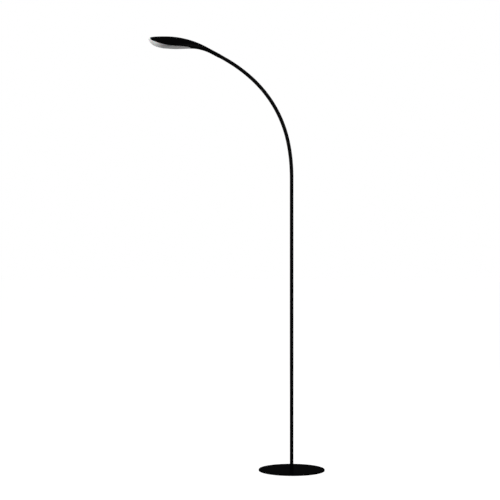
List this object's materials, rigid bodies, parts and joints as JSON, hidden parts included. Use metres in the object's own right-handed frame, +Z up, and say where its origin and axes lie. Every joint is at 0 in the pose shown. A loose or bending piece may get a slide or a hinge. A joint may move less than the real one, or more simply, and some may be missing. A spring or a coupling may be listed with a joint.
{
  "type": "floor lamp",
  "caption": "Slender black reading floor lamp: round base, straight pole and a bending gooseneck arm that runs into a spoon-shaped LED head.",
  "frame": {"origin": "centre of the base's underside, on the floor", "axes": "+Z up along the pole; the arm leans toward -X in the plane Y = 0"},
  "size_m": [0.6133, 0.23, 1.5123],
  "materials": {
    "black_paint": "fine satin powder coat",
    "black_gooseneck": "satin, wound ribs",
    "black_plastic": "satin moulded, painted to match the metal",
    "opal_plastic": "opal, fine satin",
    "zinc_steel": "zinc plated",
    "black_screw": "black oxide",
    "rubber_black": "matt",
    "foam_pad": "closed-cell foam, matt",
    "lead_sheath": "smooth sheath",
    "board_white": "white solder mask",
    "bare_aluminium": "rolled",
    "led_phosphor": "phosphor gel",
    "white_plastic": "moulded"
  },
  "bodies": {
    "stand": {"base_pad": "foam_pad", "base_plate": "black_paint", "cord_grommet": "rubber_black", "pole_stud": "zinc_steel", "lock_washer": "zinc_steel", "base_nut": "zinc_steel", "lower_pole": "black_paint", "upper_pole": "black_paint", "pole_foot_insert": "zinc_steel", "lower_joint_insert": "zinc_steel", "upper_joint_insert": "zinc_steel", "pole_nipple": "zinc_steel", "pole_lead": "lead_sheath", "gooseneck_root_ferrule": "black_paint"},
    "link_01": {"gooseneck_link_01": "black_gooseneck"},
    "link_02": {"gooseneck_link_02": "black_gooseneck"},
    "link_03": {"gooseneck_link_03": "black_gooseneck"},
    "link_04": {"gooseneck_link_04": "black_gooseneck"},
    "link_05": {"gooseneck_link_05": "black_gooseneck"},
    "link_06": {"gooseneck_link_06": "black_gooseneck"},
    "link_07": {"gooseneck_link_07": "black_gooseneck"},
    "link_08": {"gooseneck_link_08": "black_gooseneck"},
    "link_09": {"gooseneck_link_09": "black_gooseneck"},
    "link_10": {"gooseneck_link_10": "black_gooseneck"},
    "link_11": {"gooseneck_link_11": "black_gooseneck"},
    "link_12": {"gooseneck_link_12": "black_gooseneck"},
    "link_13": {"gooseneck_link_13": "black_gooseneck"},
    "link_14": {"gooseneck_link_14": "black_gooseneck"},
    "head": {"gooseneck_tip_ferrule": "black_paint", "head_shell": "black_plastic", "diffuser": "opal_plastic", "led_board": "board_white", "heat_spreader": "bare_aluminium", "led_chips": "led_phosphor", "board_screws": "zinc_steel", "wire_connector": "white_plastic", "head_lead": "lead_sheath", "neck_grub_screw": "black_screw"}
  },
  "joints": [
    {"name": "gooseneck_lower_bend", "type": "hinge", "parent": "stand", "child": "link_01", "pos_m": [0, 0, 1.0272], "axis": [0, -1, 0], "range_deg": [-7, 12]},
    {"name": "gooseneck_lower_sway", "type": "hinge", "parent": "link_01", "child": "link_02", "pos_m": [-0.00113, 0, 1.06334], "axis": [0.998, 0, 0.0627], "range_deg": [-9, 9]},
    {"name": "gooseneck_lower_bend_2", "type": "hinge", "parent": "link_02", "child": "link_03", "pos_m": [-0.00453, 0, 1.09934], "axis": [0, -1, 0], "range_deg": [-7, 12]},
    {"name": "gooseneck_lower_sway_2", "type": "hinge", "parent": "link_03", "child": "link_04", "pos_m": [-0.01017, 0, 1.13505], "axis": [0.9819, 0, 0.1893], "range_deg": [-9, 9]},
    {"name": "gooseneck_lower_bend_3", "type": "hinge", "parent": "link_04", "child": "link_05", "pos_m": [-0.01821, 0, 1.1703], "axis": [0, -1, 0], "range_deg": [-7, 12]},
    {"name": "gooseneck_lower_sway_3", "type": "hinge", "parent": "link_05", "child": "link_06", "pos_m": [-0.0293, 0, 1.20472], "axis": [0.9374, 0, 0.3483], "range_deg": [-9, 9]},
    {"name": "gooseneck_lower_bend_4", "type": "hinge", "parent": "link_06", "child": "link_07", "pos_m": [-0.04337, 0, 1.23802], "axis": [0, -1, 0], "range_deg": [-7, 12]},
    {"name": "gooseneck_upper_sway", "type": "hinge", "parent": "link_07", "child": "link_08", "pos_m": [-0.06031, 0, 1.26997], "axis": [0.8621, 0, 0.5067], "range_deg": [-9, 9]},
    {"name": "gooseneck_upper_bend", "type": "hinge", "parent": "link_08", "child": "link_09", "pos_m": [-0.07998, 0, 1.30031], "axis": [0, -1, 0], "range_deg": [-7, 12]},
    {"name": "gooseneck_upper_sway_2", "type": "hinge", "parent": "link_09", "child": "link_10", "pos_m": [-0.10224, 0, 1.3288], "axis": [0.7604, 0, 0.6495], "range_deg": [-9, 9]},
    {"name": "gooseneck_upper_bend_2", "type": "hinge", "parent": "link_10", "child": "link_11", "pos_m": [-0.1269, 0, 1.35524], "axis": [0, -1, 0], "range_deg": [-7, 12]},
    {"name": "gooseneck_upper_sway_3", "type": "hinge", "parent": "link_11", "child": "link_12", "pos_m": [-0.15373, 0, 1.37949], "axis": [0.644, 0, 0.765], "range_deg": [-9, 9]},
    {"name": "gooseneck_upper_bend_3", "type": "hinge", "parent": "link_12", "child": "link_13", "pos_m": [-0.18219, 0, 1.40178], "axis": [0, -1, 0], "range_deg": [-7, 12]},
    {"name": "gooseneck_upper_sway_4", "type": "hinge", "parent": "link_13", "child": "link_14", "pos_m": [-0.21216, 0, 1.42201], "axis": [0.53, 0, 0.848], "range_deg": [-9, 9]},
    {"name": "gooseneck_upper_bend_4", "type": "hinge", "parent": "link_14", "child": "head", "pos_m": [-0.24347, 0, 1.44009], "axis": [0, -1, 0], "range_deg": [-7, 12]}
  ],
  "couplings": [
    {"joint": "gooseneck_lower_bend_2", "follows": "gooseneck_lower_bend", "ratio": 1},
    {"joint": "gooseneck_lower_sway_2", "follows": "gooseneck_lower_sway", "ratio": 1},
    {"joint": "gooseneck_lower_bend_3", "follows": "gooseneck_lower_bend", "ratio": 1},
    {"joint": "gooseneck_lower_sway_3", "follows": "gooseneck_lower_sway", "ratio": 1},
    {"joint": "gooseneck_lower_bend_4", "follows": "gooseneck_lower_bend", "ratio": 1},
    {"joint": "gooseneck_upper_sway_2", "follows": "gooseneck_upper_sway", "ratio": 1},
    {"joint": "gooseneck_upper_bend_2", "follows": "gooseneck_upper_bend", "ratio": 1},
    {"joint": "gooseneck_upper_sway_3", "follows": "gooseneck_upper_sway", "ratio": 1},
    {"joint": "gooseneck_upper_bend_3", "follows": "gooseneck_upper_bend", "ratio": 1},
    {"joint": "gooseneck_upper_sway_4", "follows": "gooseneck_upper_sway", "ratio": 1},
    {"joint": "gooseneck_upper_bend_4", "follows": "gooseneck_upper_bend", "ratio": 1}
  ]
}
